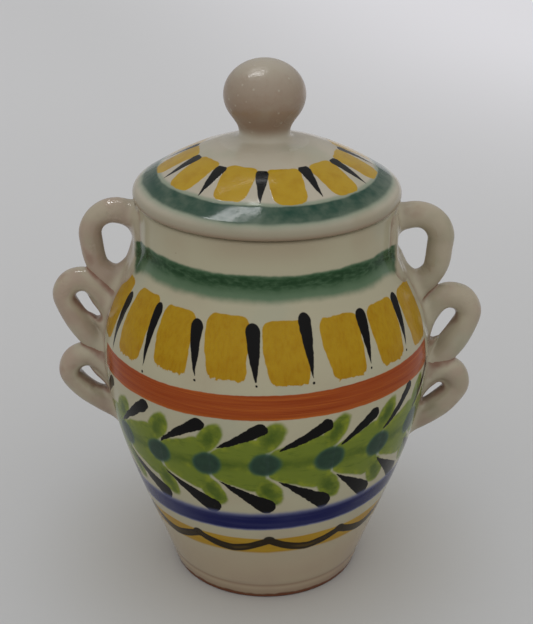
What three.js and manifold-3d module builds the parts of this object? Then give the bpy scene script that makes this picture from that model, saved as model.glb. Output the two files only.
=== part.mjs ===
// Lidded spice jar in glazed earthenware: a bellied jar on a turned foot, two handles that are each
// built up from three clay curls, and a domed lid with a locating flange and a ball knob.
// Millimetres, +Z up. The origin is the centre of the foot, on the surface that the jar stands on.
// The handles lie in the XZ plane, and the painted front faces -Y.
import * as THREE from "three";
import { mergeVertices } from "three/addons/utils/BufferGeometryUtils.js";
import Module from "manifold-3d";

const wasm = await Module();
wasm.setup();

// Jar
const FOOT_RADIUS = 26.4; // outside edge of the foot where it meets the table
const FOOT_RING_WIDTH = 5; // flat ring that the jar stands on
const FOOT_RECESS = 1.4; // depth of the turned hollow inside the ring
const FOOT_FLARE = 0.32; // how fast the wall widens as it leaves the foot
const EDGE_ROUND = 0.8; // soft edges of the foot and the flange
const BELLY_RADIUS = 44;
const BELLY_HEIGHT = 66;
const NECK_RADIUS = 33.6;
const NECK_BASE_HEIGHT = 97; // where the shoulder has turned into the upright neck
const RIM_HEIGHT = 108;
const WALL = 4;
const FLOOR = 5;

// Lid
const LID_OVERHANG = 1.3; // how far the lid stands out past the neck
const LID_EDGE = 3.4; // height of the lid's rounded edge
const LID_EDGE_ROLL = 1; // how far the edge's upper round runs on up the dome
const LID_RISE = 15; // from the lid's seat to the flat that carries the knob
const LID_WALL = 4;
const FLANGE_DEPTH = 8;
const FLANGE_WALL = 3;
const FLANGE_CLEARANCE = 1; // play between the flange and the mouth, all round

// Knob
const KNOB_RADIUS = 10.5;
const KNOB_HALF_HEIGHT = 9;
const KNOB_STEM_RADIUS = 6.9;
const KNOB_BASE_RADIUS = 8.6;
const KNOB_STEM_HEIGHT = 4.7; // from the lid to where the ball begins
const KNOB_OFFSET = 0.7; // the knob was set by hand, a little to the left of the lid's axis

// Handles, each of three curls of clay. A curl leaves the wall at its root, turns through its bend, comes
// down past its knee and lands on the wall again. OUT is measured from the neck for the upper curl and from
// the belly for the others, and UP from the rim or from the belly's widest place.
const COIL_RADIUS = 3.4;
const COIL_BURY = 2; // how far a coil's path runs past the wall before it is trimmed
const UPPER_ROOT_UP = -4.4;
const UPPER_BEND_OUT = 6;
const UPPER_BEND_UP = -11;
const UPPER_BEND_RADIUS = 6.9;
const UPPER_KNEE_OUT = 11.4;
const UPPER_KNEE_UP = -19.5;
const UPPER_LAND_UP = -27;
const MIDDLE_ROOT_UP = 9.5;
const MIDDLE_BEND_OUT = 5.7;
const MIDDLE_BEND_UP = 13.6;
const MIDDLE_BEND_RADIUS = 4.8;
const MIDDLE_KNEE_OUT = 4.9;
const MIDDLE_KNEE_UP = 2.4;
const MIDDLE_LAND_UP = -5;
const LOWER_ROOT_UP = -9.5;
const LOWER_BEND_OUT = 5;
const LOWER_BEND_UP = -8.6;
const LOWER_BEND_RADIUS = 4.8;
const LOWER_KNEE_OUT = 2.6;
const LOWER_KNEE_UP = -17.3;
const LOWER_LAND_UP = -22.5;
// The right handle was set a little lower than the left one, curl by curl.
const RIGHT_UPPER_DROP = 0.7;
const RIGHT_MIDDLE_DROP = 4.5;
const RIGHT_LOWER_DROP = 3.4;

// Fits
const SEAT_GAP = 0.3; // between the lid and the rim that it rests on
const JOINT_GAP = 0.3; // between pieces of clay that are joined before firing

// Fineness of the faceted surfaces
const LATHE_SEGMENTS = 40;
const COIL_SIDES = 10;
const COIL_STEPS = 28;
const BEND_POINTS = 5;
const WALL_POINTS = 8;
const ROUND_POINTS = 3;

// Glaze: cream all over, a little greyer on the handles and the knob, where it is thinner
const GLAZE_COLOUR = 0xd3c9b4;
const HANDLE_COLOUR = 0xc6baa5;
const KNOB_COLOUR = 0xc2b5a2;
const GLAZE_ROUGHNESS = 0.2;

const point = (r, z) => new THREE.Vector2(r, z);

// The curls in the order in which they are put on. A bend is an arc, swept in degrees about its lean.
const CURLS = {
  upper: {
    from: point(NECK_RADIUS, RIM_HEIGHT),
    root: UPPER_ROOT_UP,
    bend: { at: point(UPPER_BEND_OUT, UPPER_BEND_UP), radius: UPPER_BEND_RADIUS, lean: 45, sweep: 100 },
    knee: point(UPPER_KNEE_OUT, UPPER_KNEE_UP),
    land: UPPER_LAND_UP,
  },
  middle: {
    from: point(BELLY_RADIUS, BELLY_HEIGHT),
    root: MIDDLE_ROOT_UP,
    bend: { at: point(MIDDLE_BEND_OUT, MIDDLE_BEND_UP), radius: MIDDLE_BEND_RADIUS, lean: 56, sweep: 180 },
    knee: point(MIDDLE_KNEE_OUT, MIDDLE_KNEE_UP),
    land: MIDDLE_LAND_UP,
  },
  lower: {
    from: point(BELLY_RADIUS, BELLY_HEIGHT),
    root: LOWER_ROOT_UP,
    bend: { at: point(LOWER_BEND_OUT, LOWER_BEND_UP), radius: LOWER_BEND_RADIUS, lean: 40, sweep: 180 },
    knee: point(LOWER_KNEE_OUT, LOWER_KNEE_UP),
    land: LOWER_LAND_UP,
  },
};
const HANDLES = {
  left: { side: -1, drop: { upper: 0, middle: 0, lower: 0 } },
  right: { side: 1, drop: { upper: RIGHT_UPPER_DROP, middle: RIGHT_MIDDLE_DROP, lower: RIGHT_LOWER_DROP } },
};

// Points of a cubic curve, without its first one, so that stretches of an outline can follow each other.
function stretch(a, b, c, d, count) {
  return new THREE.CubicBezierCurve(a, b, c, d).getPoints(count).slice(1);
}

// A quarter round from one point to another, by way of the corner that it softens.
function rounded(from, corner, to, count = ROUND_POINTS) {
  return new THREE.QuadraticBezierCurve(from, corner, to).getPoints(count).slice(1);
}

// Outside of the jar from the foot to the rim.
function outerWall() {
  const foot = point(FOOT_RADIUS, EDGE_ROUND);
  const belly = point(BELLY_RADIUS, BELLY_HEIGHT);
  const neck = point(NECK_RADIUS, NECK_BASE_HEIGHT);
  const rise = BELLY_HEIGHT - EDGE_ROUND;
  const shoulder = NECK_BASE_HEIGHT - BELLY_HEIGHT;
  return [
    foot,
    ...stretch(
      foot,
      point(FOOT_RADIUS + (FOOT_FLARE * rise) / 3, EDGE_ROUND + rise / 3),
      point(BELLY_RADIUS, BELLY_HEIGHT - rise / 3),
      belly,
      WALL_POINTS,
    ),
    ...stretch(
      belly,
      point(BELLY_RADIUS, BELLY_HEIGHT + 0.54 * shoulder),
      point(NECK_RADIUS, NECK_BASE_HEIGHT - 0.24 * shoulder),
      neck,
      WALL_POINTS,
    ),
    point(NECK_RADIUS, RIM_HEIGHT),
  ];
}
const OUTER_WALL = outerWall();

// Radius of the jar's outside at a height.
function wallRadius(z) {
  const above = OUTER_WALL.findIndex((p) => p.y >= z);
  if (above === 0) return FOOT_RADIUS;
  if (above < 0) return NECK_RADIUS;
  const [a, b] = [OUTER_WALL[above - 1], OUTER_WALL[above]];
  return THREE.MathUtils.mapLinear(z, a.y, b.y, a.x, b.x);
}

// An outline turned about the jar's axis. It runs up the inside of a piece and down its outside.
function turned(outline) {
  return new THREE.LatheGeometry([...outline].reverse(), LATHE_SEGMENTS).rotateX(Math.PI / 2);
}

function solidOf(geometry) {
  const bare = geometry.clone().deleteAttribute("normal").deleteAttribute("uv");
  const merged = mergeVertices(bare, 1e-4);
  return new wasm.Manifold(
    new wasm.Mesh({
      numProp: 3,
      vertProperties: merged.attributes.position.array,
      triVerts: new Uint32Array(merged.index.array),
    }),
  );
}

function geometryOf(solid) {
  const { vertProperties, triVerts } = solid.getMesh();
  const geometry = new THREE.BufferGeometry();
  geometry.setAttribute("position", new THREE.BufferAttribute(new Float32Array(vertProperties), 3));
  geometry.setIndex(new THREE.BufferAttribute(new Uint32Array(triVerts), 1));
  geometry.computeVertexNormals();
  return geometry;
}

function piece(name, geometry, color) {
  const material = new THREE.MeshStandardMaterial({ color, roughness: GLAZE_ROUGHNESS, metalness: 0 });
  const mesh = new THREE.Mesh(geometry, material);
  mesh.name = name;
  return mesh;
}

// Jar: one wall of clay from the recess under the foot, over the rim and down to the floor inside.
function jarBody() {
  const mouth = NECK_RADIUS - WALL;
  const lip = WALL / 4;
  const inner = OUTER_WALL.filter((p) => p.y > FLOOR + WALL && p.y < RIM_HEIGHT - WALL);
  const floorCorner = point(wallRadius(FLOOR) - WALL, FLOOR);
  const recessEdge = FOOT_RADIUS - FOOT_RING_WIDTH;
  const outline = [
    point(0, FLOOR),
    point(floorCorner.x - WALL, FLOOR),
    ...rounded(point(floorCorner.x - WALL, FLOOR), floorCorner, point(inner[0].x - WALL, inner[0].y)),
    ...inner.slice(1).map((p) => point(p.x - WALL, p.y)),
    point(mouth, RIM_HEIGHT - lip),
    ...rounded(point(mouth, RIM_HEIGHT - lip), point(mouth, RIM_HEIGHT), point(mouth + lip, RIM_HEIGHT)),
    point(NECK_RADIUS - lip, RIM_HEIGHT),
    ...rounded(
      point(NECK_RADIUS - lip, RIM_HEIGHT),
      point(NECK_RADIUS, RIM_HEIGHT),
      point(NECK_RADIUS, RIM_HEIGHT - lip),
    ),
    ...OUTER_WALL.slice(0, -1).reverse(),
    ...rounded(OUTER_WALL[0], point(FOOT_RADIUS, 0), point(FOOT_RADIUS - EDGE_ROUND, 0)),
    point(recessEdge, 0),
    point(recessEdge - FOOT_RECESS, FOOT_RECESS),
    point(0, FOOT_RECESS),
  ];
  return turned(outline);
}

// Everything inside the jar's outer surface, with the gap that a joined coil keeps to it.
function keepOut() {
  const wall = OUTER_WALL.map((p) => point(p.x + JOINT_GAP, p.y)).reverse();
  return solidOf(turned([point(0, RIM_HEIGHT), ...wall, point(0, EDGE_ROUND)]));
}

// Centreline of one curl, lowered by drop, on the side of the jar that side points to.
function curlPath({ from, root, bend, knee, land }, side, drop) {
  const start = point(from.x, from.y - drop);
  const onWall = (up) => point(wallRadius(start.y + up) - COIL_BURY, start.y + up);
  const turn = [];
  for (let i = 0; i < BEND_POINTS; i++) {
    const angle = THREE.MathUtils.degToRad(bend.lean + bend.sweep * (0.5 - i / (BEND_POINTS - 1)));
    const arm = point(Math.cos(angle), Math.sin(angle)).multiplyScalar(bend.radius);
    turn.push(arm.add(start).add(bend.at));
  }
  const route = [onWall(root), ...turn, start.clone().add(knee), onWall(land)];
  return new THREE.CatmullRomCurve3(
    route.map((p) => new THREE.Vector3(side * p.x, 0, p.y)),
    false,
    "centripetal",
  );
}

// A round coil of clay along a path.
function coil(path, radius) {
  const section = new THREE.Shape();
  for (let i = 0; i < COIL_SIDES; i++) {
    const angle = (2 * Math.PI * i) / COIL_SIDES;
    const corner = [radius * Math.cos(angle), radius * Math.sin(angle)];
    if (i === 0) section.moveTo(...corner);
    else section.lineTo(...corner);
  }
  return new THREE.ExtrudeGeometry(section, { steps: COIL_STEPS, extrudePath: path, curveSegments: 1 });
}

// One handle: each curl is trimmed to the wall, and to the curls above it that it is pressed against.
function handle(sideName) {
  const { side, drop } = HANDLES[sideName];
  const group = new THREE.Group();
  let taken = keepOut();
  for (const [name, curl] of Object.entries(CURLS)) {
    const path = curlPath(curl, side, drop[name]);
    const trimmed = solidOf(coil(path, COIL_RADIUS)).subtract(taken);
    const [kept] = trimmed.decompose().sort((a, b) => b.volume() - a.volume());
    group.add(piece(`${sideName}_${name}_curl`, geometryOf(kept), HANDLE_COLOUR));
    taken = taken.add(solidOf(coil(path, COIL_RADIUS + JOINT_GAP)));
  }
  return group;
}

// Lid, in its own frame: its seat is at z = 0 and the knob stands on the flat at the top of the dome.
const LID_RADIUS = NECK_RADIUS + LID_OVERHANG;
const FLANGE_RADIUS = NECK_RADIUS - WALL - FLANGE_CLEARANCE;

function lidDome() {
  const hollow = FLANGE_RADIUS - FLANGE_WALL;
  const top = point(KNOB_BASE_RADIUS + KNOB_OFFSET, LID_RISE);
  const shoulder = point(LID_RADIUS - LID_EDGE / 2, LID_EDGE + LID_EDGE_ROLL);
  const slope = shoulder.x - top.x;
  const fall = top.y - shoulder.y;
  const dome = stretch(
    top,
    point(top.x + slope / 3, top.y - 0.12 * fall),
    point(shoulder.x - slope / 3, shoulder.y + 0.48 * fall),
    shoulder,
    WALL_POINTS,
  );
  const edge = point(LID_RADIUS, LID_EDGE / 2);
  const seat = point(LID_RADIUS - LID_EDGE / 2, 0);
  const mouth = point(hollow, 0);
  const ceiling = point(0, LID_RISE - LID_WALL);
  const outline = [
    point(0, LID_RISE),
    top,
    ...dome,
    ...rounded(shoulder, point(LID_RADIUS, LID_EDGE), edge),
    ...rounded(edge, point(LID_RADIUS, 0), seat),
    mouth,
    ...stretch(mouth, point(hollow, ceiling.y / 2), point(hollow / 2, ceiling.y), ceiling, WALL_POINTS),
  ];
  return turned(outline);
}

// Ring under the lid that keeps it in the mouth.
function lidFlange() {
  const [inside, outside] = [FLANGE_RADIUS - FLANGE_WALL, FLANGE_RADIUS];
  const [top, bottom] = [-JOINT_GAP, -FLANGE_DEPTH];
  const outline = [
    point(inside, bottom + EDGE_ROUND),
    point(inside, top),
    point(outside, top),
    point(outside, bottom + EDGE_ROUND),
    ...rounded(
      point(outside, bottom + EDGE_ROUND),
      point(outside, bottom),
      point(outside - EDGE_ROUND, bottom),
    ),
    point(inside + EDGE_ROUND, bottom),
    ...rounded(point(inside + EDGE_ROUND, bottom), point(inside, bottom), point(inside, bottom + EDGE_ROUND)),
  ];
  return turned(outline);
}

// Ball knob on a waisted stem, with z = 0 at the foot of the stem.
function lidKnob() {
  const centre = KNOB_STEM_HEIGHT + KNOB_HALF_HEIGHT * Math.sqrt(1 - (KNOB_STEM_RADIUS / KNOB_RADIUS) ** 2);
  const waist = point(KNOB_STEM_RADIUS, KNOB_STEM_HEIGHT / 2);
  const joint = Math.asin(KNOB_STEM_RADIUS / KNOB_RADIUS);
  const ballPoints = 2 * WALL_POINTS;
  const ball = [];
  for (let i = 0; i <= ballPoints; i++) {
    const angle = ((Math.PI - joint) * i) / ballPoints;
    ball.push(point(KNOB_RADIUS * Math.sin(angle), centre + KNOB_HALF_HEIGHT * Math.cos(angle)));
  }
  const base = point(KNOB_BASE_RADIUS, 0);
  const foot = rounded(waist, point(KNOB_STEM_RADIUS, 0), base, WALL_POINTS);
  return turned([...ball, waist, ...foot, point(0, 0)]);
}

function lid() {
  const group = new THREE.Group();
  group.position.z = RIM_HEIGHT + SEAT_GAP;
  const knob = piece("lid_knob", lidKnob(), KNOB_COLOUR);
  knob.position.set(-KNOB_OFFSET, 0, LID_RISE + JOINT_GAP);
  group.add(piece("lid_dome", lidDome(), GLAZE_COLOUR));
  group.add(piece("lid_flange", lidFlange(), GLAZE_COLOUR));
  group.add(knob);
  return group;
}

const jar = new THREE.Group();
jar.add(piece("jar_body", jarBody(), GLAZE_COLOUR));
jar.add(handle("left"));
jar.add(handle("right"));
jar.add(lid());

export default jar;
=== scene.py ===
# Dressed model of a lidded spice jar: smooth turned clay, coil handles luted to the wall, and a painted
# glaze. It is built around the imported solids, in their frame. Lengths are in millimetres until a mesh,
# a lamp or the camera is placed, where MM turns them into metres.
import math
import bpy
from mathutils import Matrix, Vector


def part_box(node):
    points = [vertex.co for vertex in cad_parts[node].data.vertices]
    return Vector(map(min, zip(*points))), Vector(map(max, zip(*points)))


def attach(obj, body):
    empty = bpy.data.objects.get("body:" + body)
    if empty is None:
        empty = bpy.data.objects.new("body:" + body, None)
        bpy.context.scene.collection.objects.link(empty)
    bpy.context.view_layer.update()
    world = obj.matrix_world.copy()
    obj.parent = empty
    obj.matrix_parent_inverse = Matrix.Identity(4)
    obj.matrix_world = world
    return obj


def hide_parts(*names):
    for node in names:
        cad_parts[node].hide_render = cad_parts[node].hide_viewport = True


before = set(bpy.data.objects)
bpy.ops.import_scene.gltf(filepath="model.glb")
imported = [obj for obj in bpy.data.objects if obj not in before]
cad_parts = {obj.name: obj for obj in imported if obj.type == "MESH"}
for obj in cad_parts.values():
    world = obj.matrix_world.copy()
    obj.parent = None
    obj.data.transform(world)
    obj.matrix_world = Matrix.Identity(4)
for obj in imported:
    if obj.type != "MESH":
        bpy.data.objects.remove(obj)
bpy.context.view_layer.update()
from types import SimpleNamespace as Motif

import bpy
import numpy as np
from mathutils import Euler, Matrix, Vector

MM = 0.001
DEGREE = math.radians(1)


def node_box(name):
    """Corners of a CAD node's box, in millimetres."""
    low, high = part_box(name)
    return np.array(low) / MM, np.array(high) / MM


# Driving sizes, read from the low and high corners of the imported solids
_, (_, BELLY_RADIUS, RIM_HEIGHT) = node_box("jar_body")
(_, _, LID_SEAT), (_, LID_RADIUS, LID_TOP) = node_box("lid_dome")
(KNOB_LEFT, _, _), (KNOB_RIGHT, KNOB_RADIUS, KNOB_TOP) = node_box("lid_knob")
(_, _, FLANGE_BOTTOM), (_, FLANGE_RADIUS, _) = node_box("lid_flange")
KNOB_X = (KNOB_LEFT + KNOB_RIGHT) / 2

# Sizes of the jar and the lid that their boxes don't give
FOOT_RADIUS = 26.4
FOOT_RING_WIDTH = 5
FOOT_RECESS = 1.4
FOOT_FLARE = 0.32
FOOT_ROUND = 0.8
FOOT_GROOVE_HEIGHT = 4.8
FOOT_GROOVE_WIDTH = 0.5
FOOT_GROOVE_DEPTH = 0.35
BELLY_HEIGHT = 66
NECK_RADIUS = 33.6
NECK_BASE_HEIGHT = 97
WALL = 4
FLOOR = 5
LID_EDGE = 3.4
LID_EDGE_ROLL = 1
LID_WALL = 4
LID_FLAT_RADIUS = 9.3
FLANGE_WALL = 3
FLANGE_SINK = 0.2
KNOB_HALF_HEIGHT = 9
KNOB_BALL_END = 122
KNOB_STEM_RADIUS = 6.6
KNOB_FLARE_RADIUS = 11.5
KNOB_WAIST_HEIGHT = 2.2
KNOB_SKIRT = 0.3
KNOB_SKIRT_SINK = 0.1
KNOB_SINK = 1

# How far the curves pull at their ends, as shares of a curve's height
SHOULDER_FULLNESS = 0.54
NECK_HOLLOW = 0.24
DOME_START = 0.12
DOME_END = 0.48

# The same for the knob's curves, in millimetres
BALL_PULL = 2.6
WAIST_PULL = 1.8
FLARE_START_LIFT = 0.6
FLARE_END_PULL = 3.3

# Fineness of the turned pieces
LATHE_SEGMENTS = 160

# Curves and turned shapes


def bezier(a, b, c, d, count):
    """Points of a cubic curve, without its first one."""
    t = np.linspace(0, 1, count + 1)[1:, None]
    a, b, c, d = (np.array(p, float) for p in (a, b, c, d))
    return (1 - t) ** 3 * a + 3 * (1 - t) ** 2 * t * b + 3 * (1 - t) * t**2 * c + t**3 * d


def rounded(start, corner, end, count=6):
    """A soft corner from start to end, without its first point."""
    t = np.linspace(0, 1, count + 1)[1:, None]
    start, corner, end = (np.array(p, float) for p in (start, corner, end))
    return (1 - t) ** 2 * start + 2 * (1 - t) * t * corner + t**2 * end


def outer_wall():
    """Outside of the jar from the foot to the rim, with the line turned into it above the foot."""
    rise = BELLY_HEIGHT - FOOT_ROUND
    shoulder = NECK_BASE_HEIGHT - BELLY_HEIGHT
    foot = (FOOT_RADIUS, FOOT_ROUND)
    belly = (BELLY_RADIUS, BELLY_HEIGHT)
    neck = (NECK_RADIUS, NECK_BASE_HEIGHT)
    leaving = (FOOT_RADIUS + FOOT_FLARE * rise / 3, FOOT_ROUND + rise / 3)
    lower = bezier(foot, leaving, (BELLY_RADIUS, BELLY_HEIGHT - rise / 3), belly, 90)
    rising = (BELLY_RADIUS, BELLY_HEIGHT + SHOULDER_FULLNESS * shoulder)
    joining = (NECK_RADIUS, NECK_BASE_HEIGHT - NECK_HOLLOW * shoulder)
    upper = bezier(belly, rising, joining, neck, 40)
    straight = np.linspace(neck, (NECK_RADIUS, RIM_HEIGHT), 9)[1:]
    points = np.vstack([[foot], lower, upper, straight])
    groove = np.exp(-(((points[:, 1] - FOOT_GROOVE_HEIGHT) / FOOT_GROOVE_WIDTH) ** 2))
    points[:, 0] -= FOOT_GROOVE_DEPTH * groove
    return points


OUTER_WALL = outer_wall()


def wall_radius(z):
    """Outside radius of the jar at a height."""
    return np.interp(z, OUTER_WALL[:, 1], OUTER_WALL[:, 0])


def show(thing):
    bpy.context.scene.collection.objects.link(thing)


def new_piece(name, vertices, faces, body, slot, node, material):
    """A smooth mesh, given in millimetres, that rides on a body and stands for a CAD node."""
    mesh = bpy.data.meshes.new(name)
    mesh.from_pydata((np.asarray(vertices) * MM).tolist(), [], faces)
    mesh.validate()
    mesh.shade_smooth()
    piece = bpy.data.objects.new(name, mesh)
    show(piece)
    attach(piece, body)
    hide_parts(node)
    piece.data.materials.append(material)
    return piece


def mesh_points(piece):
    """Vertices of a piece, in millimetres."""
    return np.array([vertex.co for vertex in piece.data.vertices]) / MM


def store(piece, name, values):
    """Keeps a number for each vertex on the mesh, for its material to read."""
    stored = piece.data.attributes.new(name, "FLOAT", "POINT")
    stored.data.foreach_set("value", np.asarray(values, float))


def lathe(outline, centre_x=0.0):
    """Mesh of an outline turned about the Z axis. A point on the axis becomes one vertex."""
    angles = np.arange(LATHE_SEGMENTS) * 2 * math.pi / LATHE_SEGMENTS
    ring = np.stack([np.sin(angles), -np.cos(angles)], 1)
    vertices, rows = [], []
    for r, z in outline:
        start = len(vertices)
        if r < 1e-6:
            vertices.append((centre_x, 0.0, z))
            rows.append([start] * LATHE_SEGMENTS)
        else:
            vertices.extend((centre_x + r * x, r * y, z) for x, y in ring)
            rows.append(list(range(start, start + LATHE_SEGMENTS)))
    faces = []
    for row, following in zip(rows, rows[1:]):
        for i in range(LATHE_SEGMENTS):
            j = (i + 1) % LATHE_SEGMENTS
            faces.append(list(dict.fromkeys([row[i], row[j], following[j], following[i]])))
    return np.array(vertices), faces


def jar_outline():
    """From the floor inside, up and over the rim, down the outside and under the foot."""
    mouth = NECK_RADIUS - WALL
    lip = WALL / 3
    height = OUTER_WALL[:, 1]
    inner = OUTER_WALL[(height > FLOOR + WALL) & (height < RIM_HEIGHT - WALL)][::3] - (WALL, 0)
    corner = (wall_radius(FLOOR) - WALL, FLOOR)
    floor_edge = (corner[0] - WALL, FLOOR)
    recess = FOOT_RADIUS - FOOT_RING_WIDTH
    top, below = RIM_HEIGHT, RIM_HEIGHT - lip
    rim_in = rounded((mouth, below), (mouth, top), (mouth + lip, top))
    rim_out = rounded((NECK_RADIUS - lip, top), (NECK_RADIUS, top), (NECK_RADIUS, below))
    return np.vstack([
        [(0, FLOOR), floor_edge],
        rounded(floor_edge, corner, inner[0]),
        inner[1:],
        [(mouth, below)],
        rim_in,
        [(NECK_RADIUS - lip, top)],
        rim_out,
        OUTER_WALL[:-2][::-1],
        rounded(OUTER_WALL[0], (FOOT_RADIUS, 0), (FOOT_RADIUS - FOOT_ROUND, 0)),
        [(recess + FOOT_ROUND, 0)],
        rounded((recess + FOOT_ROUND, 0), (recess, 0), (recess - FOOT_RECESS, FOOT_RECESS)),
        [(0, FOOT_RECESS)],
    ])


def jar_inside(vertices):
    """1 for each vertex inside the jar and 0 for the others."""
    r, z = np.hypot(vertices[:, 0], vertices[:, 1]), vertices[:, 2]
    return (r < wall_radius(z) - WALL / 2) & (z > (FLOOR + FOOT_RECESS) / 2)


def dome_curve():
    """Outside of the lid from the flat at its top to the shoulder of its edge."""
    top = (LID_FLAT_RADIUS, LID_TOP)
    shoulder = (LID_RADIUS - LID_EDGE / 2, LID_SEAT + LID_EDGE + LID_EDGE_ROLL)
    slope = shoulder[0] - top[0]
    fall = top[1] - shoulder[1]
    leaving = (top[0] + slope / 3, top[1] - DOME_START * fall)
    arriving = (shoulder[0] - slope / 3, shoulder[1] + DOME_END * fall)
    return np.vstack([[top], bezier(top, leaving, arriving, shoulder, 48)])


DOME = dome_curve()


def dome_height(r):
    """Height of the lid's outside at a radius."""
    return np.interp(r, DOME[:, 0], DOME[:, 1])


def lid_outline():
    """From the top of the dome, down and round its edge, along the seat and up inside the hollow."""
    edge = (LID_RADIUS, LID_SEAT + LID_EDGE / 2)
    seat = (LID_RADIUS - LID_EDGE / 2, LID_SEAT)
    hollow = FLANGE_RADIUS - FLANGE_WALL
    ceiling = LID_TOP - LID_WALL
    middle = (LID_SEAT + ceiling) / 2
    return np.vstack([
        [(0, LID_TOP)],
        DOME,
        rounded(DOME[-1], (LID_RADIUS, LID_SEAT + LID_EDGE), edge, 8),
        rounded(edge, (LID_RADIUS, LID_SEAT), seat, 8),
        [(hollow, LID_SEAT)],
        bezier((hollow, LID_SEAT), (hollow, middle), (hollow / 2, ceiling), (0, ceiling), 24),
    ])


def lid_inside(vertices):
    """1 for each vertex under the lid, on its seat or in its hollow, and 0 for the others."""
    r, z = np.hypot(vertices[:, 0], vertices[:, 1]), vertices[:, 2]
    return (z < LID_SEAT + 0.01) | ((r < FLANGE_RADIUS) & (z < dome_height(r) - LID_WALL / 2))


def flange_outline():
    """The ring under the lid that drops into the jar's mouth."""
    inside = FLANGE_RADIUS - FLANGE_WALL
    soft = FLANGE_WALL / 3
    low = FLANGE_BOTTOM
    high = LID_SEAT + FLANGE_SINK
    return np.vstack([
        [(inside, high), (FLANGE_RADIUS, high), (FLANGE_RADIUS, low + soft)],
        rounded((FLANGE_RADIUS, low + soft), (FLANGE_RADIUS, low), (FLANGE_RADIUS - soft, low)),
        [(inside + soft, low)],
        rounded((inside + soft, low), (inside, low), (inside, low + soft)),
        [(inside, high)],
    ])


def knob_shape():
    """Ball, waist and a foot that flares out until it lies on the dome."""
    centre = KNOB_TOP - KNOB_HALF_HEIGHT
    angles = np.radians(np.linspace(0, KNOB_BALL_END, 48))
    ball = np.stack([KNOB_RADIUS * np.sin(angles), centre + KNOB_HALF_HEIGHT * np.cos(angles)], 1)
    waist = (KNOB_STEM_RADIUS, LID_TOP + KNOB_WAIST_HEIGHT)
    onward = (ball[-1] - ball[-2]) / np.linalg.norm(ball[-1] - ball[-2])
    neck = bezier(ball[-1], ball[-1] + BALL_PULL * onward, (waist[0], waist[1] + WAIST_PULL), waist, 16)
    foot = (KNOB_FLARE_RADIUS, LID_TOP)
    falling = (waist[0], LID_TOP + FLARE_START_LIFT)
    flare = bezier(waist, falling, (KNOB_FLARE_RADIUS - FLARE_END_PULL, LID_TOP), foot, 16)
    hidden = [(KNOB_FLARE_RADIUS + KNOB_SKIRT, LID_TOP - KNOB_SKIRT_SINK), (0, LID_TOP - KNOB_SINK)]
    vertices, faces = lathe(np.vstack([ball, neck, flare, hidden]), KNOB_X)
    fall = dome_height(np.hypot(vertices[:, 0], vertices[:, 1])) - LID_TOP
    vertices[:, 2] += np.where(vertices[:, 2] < waist[1], fall, 0)
    return vertices, faces


# Handle curls: distance fields in millimetres, turned into meshes

# Coils, from their start in the wall to their thin end
COIL_BURY = 2
COIL_END_RADIUS = 2.7
COIL_END_SHARE = 0.18
HAND_UNEVENNESS = 0.02
HAND_WAVES = 11
WEB_RADIUS = 2.3
WEB_LENGTH = 1.5

# Joints: fillets, and the skirt of clay that thins out round them, below the rim
WALL_FILLET = 3.2
COIL_FILLET = 1.3
SLOT_FILLET = 1.8
SKIRT_REACH = 1.3 * WALL_FILLET
SKIRT_SINK = 0.1
COIL_SINK = 0.35
SINK_START = 0.8
SINK_SPAN = 0.35
SKIRT_DEPTH = 0.8
SKIRT_TOP = RIM_HEIGHT - 1.6
SKIRT_TOP_ROUND = 0.8
SKIRT_TOP_CLEAR = 0.5
SKIRT_TOP_RISE = 2

# Reach and strength of the creases, which are tinted red and painted darker as shade
CREASE_REACH = 1.2
WALL_CREASE = 0.62
SLOT_CREASE = 0.75
SLOT_CREASE_START = 0.4
SLOT_CREASE_REACH = 1.1

# Meshing, and how vertices settle on the surface
BEND_POINTS = 5
SPAN_STEPS = 6
BONE_EVERY = 4
COIL_GRID = 0.42
GRID_ROOM = 1.5
NEAR_ROOM = 2
SETTLING_ROUNDS = 3
SETTLING_STEP = 0.2
LEAST_STEEPNESS = 0.3

# Each curl: the coil's radius, where it leaves the wall, the arc of its bend, the knee it comes down past
# and where it lands. Points are an outward distance and a height, from the neck and the rim for the upper
# curl, and from the belly at its widest for the others. A slot is the gap left between a curl's two arms and
# a smear is clay pushed over a joint. A flank is a smear laid at that spread to both sides of the curl. All
# three are points with radii.
NECK_RIM = (NECK_RADIUS, RIM_HEIGHT)
BELLY = (BELLY_RADIUS, BELLY_HEIGHT)
LEFT_CURLS = {
    "upper": dict(
        origin=NECK_RIM, radius=(3.5, 3.0), root=-6.4, at=(6.2, -10.9), bend=6.9, lean=40, sweep=110,
        knee=(11.4, -19.5), land=-27,
        smears=[
            ((0.3, -6, 1.7), (0.1, -16.5, 1.4)),
            ((1, -14.5, 1), (2.85, -18, 1.1), (6, -20.8, 1.2), (9, -21.8, 1.5)),
        ],
        spread=4, flank=((-2.25, -5, 3), (-2.25, -15, 3), (-0.9, -20, 3)),
    ),
    "middle": dict(
        origin=BELLY, radius=(3.3, 3.4), root=9.5, at=(5.5, 13.6), bend=4.8, lean=56, sweep=180,
        knee=(4.9, 2.4), land=-5, slot=[(5.9, 13.4, 1.4), (3.9, 10.5, 1.25), (1.7, 8.1, 0.9)],
    ),
    "lower": dict(
        origin=BELLY, radius=(3.4, 3.4), root=-9.5, at=(5.1, -8.6), bend=4.8, lean=40, sweep=180,
        knee=(2.6, -17.3), land=-22.5, slot=[(5.9, -8.9, 1.3), (3.4, -11.4, 1.1), (0, -13.6, 0.65)],
    ),
}
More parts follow.
